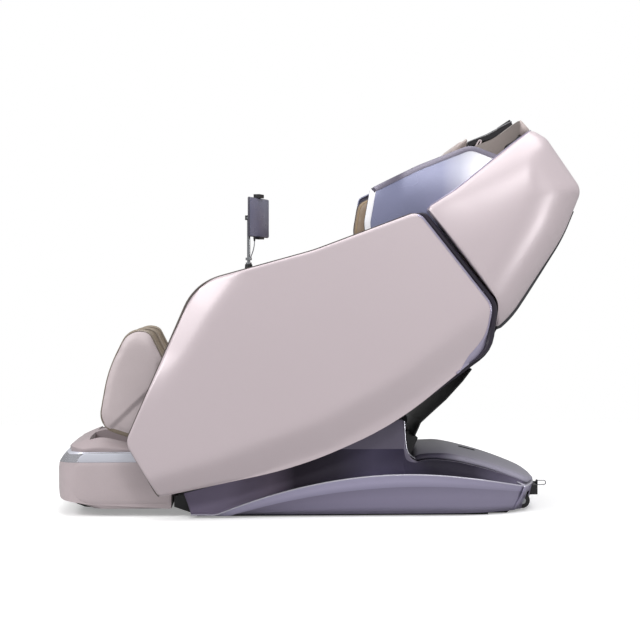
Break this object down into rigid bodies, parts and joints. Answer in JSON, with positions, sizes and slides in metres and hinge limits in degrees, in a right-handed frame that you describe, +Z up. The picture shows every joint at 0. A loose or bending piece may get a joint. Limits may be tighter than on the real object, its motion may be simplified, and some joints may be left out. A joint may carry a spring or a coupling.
{
  "type": "massage chair",
  "caption": "Reclining massage chair with moulded side panels, winged head, lifting leg rest, sliding foot unit and a tablet on a stalk, on a low moulded base.",
  "frame": {"origin": "centre of the bounding box on the floor", "axes": "+X towards the back of the chair, +Y towards the sitter's right, +Z up; the feet point to -X"},
  "size_m": [1.6229, 0.78, 1.2325],
  "materials": {
    "steel_paint": "black powder coat, semi-matt",
    "base_moulding": "metallic grey-lilac lacquer, glossy",
    "hood_moulding": "metallic grey lacquer, satin",
    "black_plastic": "fine grain, matt",
    "bare_steel": "drawn steel",
    "wheel_rubber": "smooth tread",
    "actuator_body": "moulded, matt",
    "shell_moulding": "pale pink-beige lacquer, glossy",
    "wing_moulding": "metallic blue-grey lacquer, glossy",
    "beige_leather": "soft-touch synthetic leather",
    "brown_leather": "synthetic leather with piping",
    "dark_cover": "dark grey moulding, satin",
    "roller_plastic": "moulded, smooth",
    "silver_trim": "bright silver trim",
    "tablet_case": "smooth grey case and screen",
    "cord_sheath": "round sheath"
  },
  "bodies": {
    "base": {"base_frame": "steel_paint", "tilt_brackets": "steel_paint", "base_skirt_left": "base_moulding", "base_skirt_right": "base_moulding", "base_deck": "black_plastic", "base_front": "black_plastic", "neck_covers": "base_moulding", "base_hood": "hood_moulding", "base_skids": "black_plastic", "wheel_axles": "bare_steel", "power_inlet": "black_plastic", "wire_loop": "bare_steel", "control_box": "steel_paint", "tilt_actuator": "actuator_body"},
    "wheel_left": {"wheel_left": "wheel_rubber"},
    "wheel_right": {"wheel_right": "wheel_rubber"},
    "power_rocker": {"power_rocker": "black_plastic"},
    "tilt_rod": {"tilt_rod": "bare_steel"},
    "seat": {"seat_frame": "steel_paint", "seat_pan": "black_plastic", "seat_cushion": "beige_leather", "arm_panel_left": "shell_moulding", "arm_panel_right": "shell_moulding", "arm_body_left": "brown_leather", "arm_body_right": "brown_leather", "arm_pads": "beige_leather", "recline_actuator": "actuator_body", "leg_actuator": "actuator_body", "stalk_base": "black_plastic"},
    "recline_rod": {"recline_rod": "bare_steel"},
    "leg_rod": {"leg_rod": "bare_steel"},
    "back": {"back_frame": "steel_paint", "back_shell_left": "shell_moulding", "back_shell_right": "shell_moulding", "rear_cover": "dark_cover", "wing_panel_left": "wing_moulding", "wing_panel_right": "wing_moulding", "wing_pads": "brown_leather", "back_cushion": "beige_leather"},
    "head_pillow": {"head_pillow": "beige_leather"},
    "massage_carriage": {"massage_carriage": "actuator_body"},
    "roller_arm_left": {"roller_arm_left": "roller_plastic"},
    "roller_arm_right": {"roller_arm_right": "roller_plastic"},
    "massage_roller_1": {"massage_roller_1": "roller_plastic"},
    "massage_roller_2": {"massage_roller_2": "roller_plastic"},
    "massage_roller_3": {"massage_roller_3": "roller_plastic"},
    "massage_roller_4": {"massage_roller_4": "roller_plastic"},
    "leg": {"leg_frame": "steel_paint", "calf_walls": "beige_leather", "calf_pads": "brown_leather"},
    "foot": {"foot_shell": "beige_leather", "foot_trim": "silver_trim", "foot_bumper": "black_plastic", "foot_pads": "beige_leather"},
    "foot_roller": {"foot_roller": "roller_plastic"},
    "stalk": {"tablet_stalk": "bare_steel", "tablet_lead": "cord_sheath"},
    "tablet": {"tablet_holder": "black_plastic", "tablet_body": "tablet_case"},
    "holder_jaw": {"holder_jaw": "black_plastic"}
  },
  "joints": [
    {"name": "seat_tilt", "type": "hinge", "parent": "base", "child": "seat", "pos_m": [0.14, 0, 0.35], "axis": [0, 1, 0], "range_deg": [0, 18]},
    {"name": "tilt_rod_slide", "type": "slide", "parent": "base", "child": "tilt_rod", "axis": [-1, 0, 0], "range_m": [0, 0.0475]},
    {"name": "back_recline", "type": "hinge", "parent": "seat", "child": "back", "pos_m": [0.265, 0, 0.365], "axis": [0, 1, 0], "range_deg": [0, 26]},
    {"name": "recline_rod_slide", "type": "slide", "parent": "seat", "child": "recline_rod", "axis": [-1, 0, 0], "range_m": [0, 0.0433]},
    {"name": "leg_lift", "type": "hinge", "parent": "seat", "child": "leg", "pos_m": [-0.345, 0, 0.425], "axis": [0, 1, 0], "range_deg": [0, 75]},
    {"name": "leg_rod_slide", "type": "slide", "parent": "seat", "child": "leg_rod", "axis": [-1, 0, 0], "range_m": [0, 0.1223]},
    {"name": "foot_extend", "type": "slide", "parent": "leg", "child": "foot", "axis": [-0.309, 0, -0.9511], "range_m": [0, 0.12]},
    {"name": "foot_roller_spin", "type": "hinge", "parent": "foot", "child": "foot_roller", "pos_m": [-0.64, 0, 0.066], "axis": [0, 1, 0], "continuous": true},
    {"name": "wheel_left_spin", "type": "hinge", "parent": "base", "child": "wheel_left", "pos_m": [0.643, -0.17, 0.033], "axis": [0, 1, 0], "continuous": true},
    {"name": "wheel_right_spin", "type": "hinge", "parent": "base", "child": "wheel_right", "pos_m": [0.643, 0.17, 0.033], "axis": [0, 1, 0], "continuous": true},
    {"name": "power_rocker_tip", "type": "hinge", "parent": "base", "child": "power_rocker", "pos_m": [0.691, -0.06, 0.061], "axis": [0, 1, 0], "range_deg": [0, 14]},
    {"name": "pillow_flip", "type": "hinge", "parent": "back", "child": "head_pillow", "pos_m": [0.61089, 0, 1.22849], "axis": [0, 1, 0], "range_deg": [0, 120]},
    {"name": "carriage_travel", "type": "slide", "parent": "back", "child": "massage_carriage", "axis": [0.3907, 0, 0.9205], "range_m": [-0.12, 0.4]},
    {"name": "roller_arm_left_swing", "type": "hinge", "parent": "massage_carriage", "child": "roller_arm_left", "pos_m": [0.44297, -0.061, 0.61536], "axis": [0, 1, 0], "range_deg": [-8, 8]},
    {"name": "roller_arm_right_swing", "type": "hinge", "parent": "massage_carriage", "child": "roller_arm_right", "pos_m": [0.44297, 0.061, 0.61536], "axis": [0, 1, 0], "range_deg": [-8, 8]},
    {"name": "massage_roller_1_spin", "type": "hinge", "parent": "roller_arm_left", "child": "massage_roller_1", "pos_m": [0.38019, -0.084, 0.54424], "axis": [0, 1, 0], "continuous": true},
    {"name": "massage_roller_2_spin", "type": "hinge", "parent": "roller_arm_left", "child": "massage_roller_2", "pos_m": [0.45052, -0.084, 0.70993], "axis": [0, 1, 0], "continuous": true},
    {"name": "massage_roller_3_spin", "type": "hinge", "parent": "roller_arm_right", "child": "massage_roller_3", "pos_m": [0.38019, 0.084, 0.54424], "axis": [0, 1, 0], "continuous": true},
    {"name": "massage_roller_4_spin", "type": "hinge", "parent": "roller_arm_right", "child": "massage_roller_4", "pos_m": [0.45052, 0.084, 0.70993], "axis": [0, 1, 0], "continuous": true},
    {"name": "stalk_swivel", "type": "hinge", "parent": "seat", "child": "stalk", "pos_m": [-0.214, -0.297, 0.76], "axis": [0, 0, 1], "range_deg": [-70, 70]},
    {"name": "tablet_tilt", "type": "hinge", "parent": "stalk", "child": "tablet", "pos_m": [-0.214, -0.297, 0.912], "axis": [0.342, 0.9397, 0], "range_deg": [-15, 15], "deforming": ["tablet_lead"]},
    {"name": "jaw_slide", "type": "slide", "parent": "tablet", "child": "holder_jaw", "axis": [0, 0, 1], "range_m": [0, 0.012], "stiffness_N_per_m": 600, "springref_m": -0.006}
  ],
  "couplings": [
    {"joint": "tilt_rod_slide", "follows": "seat_tilt", "m_per_rad": 0.14939},
    {"joint": "recline_rod_slide", "follows": "back_recline", "m_per_rad": 0.09419},
    {"joint": "leg_rod_slide", "follows": "leg_lift", "m_per_rad": 0.09301},
    {"joint": "roller_arm_right_swing", "follows": "roller_arm_left_swing", "ratio": -1}
  ]
}
